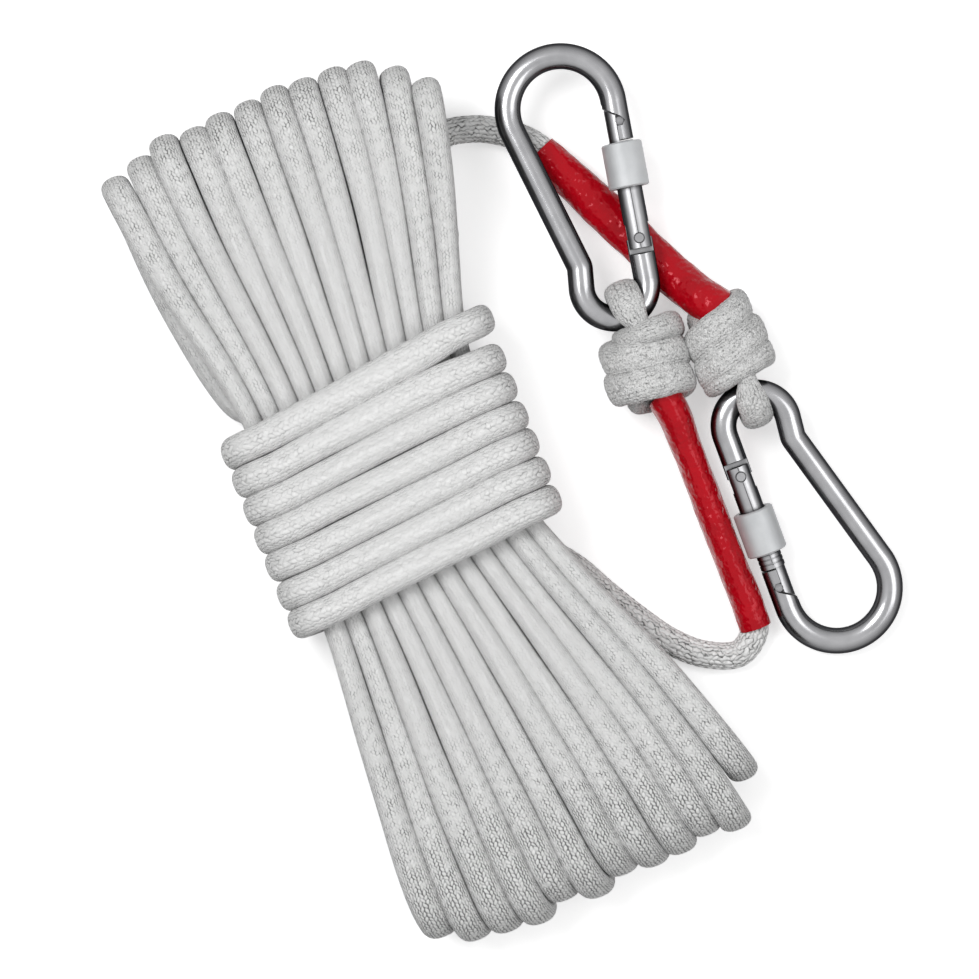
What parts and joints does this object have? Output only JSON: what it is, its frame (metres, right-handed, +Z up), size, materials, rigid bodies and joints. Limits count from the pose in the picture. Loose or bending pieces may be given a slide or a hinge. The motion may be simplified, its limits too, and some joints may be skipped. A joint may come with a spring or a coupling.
{
  "type": "rope hank with carabiners",
  "caption": "White braided climbing rope folded into a flat hank and tied round its waist, with red heat-shrink sleeves, barrel knots and screw-lock steel carabiners on its ends.",
  "frame": {"origin": "under the middle of the whole object, on the surface it lies on", "axes": "+Y along the hank towards the end with the shorter lead, +X across the hank towards the carabiners, +Z up"},
  "size_m": [0.1728, 0.25, 0.0378],
  "materials": {
    "rope": "matte braided polyester",
    "sleeve": "glossy heat-shrink tube",
    "steel": "polished zinc-plated steel",
    "nut": "satin zinc plating",
    "spring_steel": "drawn wire"
  },
  "bodies": {
    "rope": {"rope_hank": "rope", "waist_wraps": "rope", "first_lead": "rope", "first_sleeve": "sleeve", "first_tail": "rope", "first_knot": "rope", "first_eye": "rope", "second_lead": "rope", "second_sleeve": "sleeve", "second_tail": "rope", "second_knot": "rope", "second_eye": "rope"},
    "first_carabiner": {"first_frame": "steel"},
    "first_gate_body": {"first_gate": "steel", "first_hinge_pin": "steel", "first_latch_pin": "steel", "first_gate_spring": "spring_steel"},
    "first_nut_body": {"first_lock_nut": "nut"},
    "first_plunger_body": {"first_plunger": "steel"},
    "second_carabiner": {"second_frame": "steel"},
    "second_gate_body": {"second_gate": "steel", "second_hinge_pin": "steel", "second_latch_pin": "steel", "second_gate_spring": "spring_steel"},
    "second_nut_body": {"second_lock_nut": "nut"},
    "second_plunger_body": {"second_plunger": "steel"}
  },
  "joints": [
    {"name": "first_swing", "type": "hinge", "parent": "rope", "child": "first_carabiner", "pos_m": [0.06189, -0.00586, 0.01291], "axis": [-0.9959, -0.0906, 0], "range_deg": [0, 90]},
    {"name": "first_gate_turn", "type": "hinge", "parent": "first_carabiner", "child": "first_gate_body", "pos_m": [0.0531, -0.02692, 0.01072], "axis": [0.0098, -0.1076, 0.9942], "range_deg": [0, 22], "stiffness_Nm_per_rad": 0.35, "springref_deg": -11.46},
    {"name": "first_nut_slide", "type": "slide", "parent": "first_gate_body", "child": "first_nut_body", "axis": [0.02, 0.994, 0.1073], "range_m": [-0.0116, 0]},
    {"name": "first_plunger_slide", "type": "slide", "parent": "first_gate_body", "child": "first_plunger_body", "axis": [-0.02, -0.994, -0.1073], "range_m": [0, 0.0007]},
    {"name": "second_swing", "type": "hinge", "parent": "rope", "child": "second_carabiner", "pos_m": [0.03879, 0.02746, 0.0148], "axis": [0.9968, -0.0802, 0], "range_deg": [0, 90]},
    {"name": "second_gate_turn", "type": "hinge", "parent": "second_carabiner", "child": "second_gate_body", "pos_m": [0.05104, 0.04683, 0.0148], "axis": [0, 0, 1], "range_deg": [0, 22], "stiffness_Nm_per_rad": 0.35, "springref_deg": -11.46},
    {"name": "second_nut_slide", "type": "slide", "parent": "second_gate_body", "child": "second_nut_body", "axis": [-0.1894, -0.9819, 0], "range_m": [-0.0073, 0.0043]},
    {"name": "second_plunger_slide", "type": "slide", "parent": "second_gate_body", "child": "second_plunger_body", "axis": [0.1894, 0.9819, 0], "range_m": [0, 0.0007]}
  ],
  "couplings": [
    {"joint": "first_plunger_slide", "follows": "first_gate_turn", "m_per_rad": 0.001734},
    {"joint": "second_plunger_slide", "follows": "second_gate_turn", "m_per_rad": 0.001734}
  ]
}
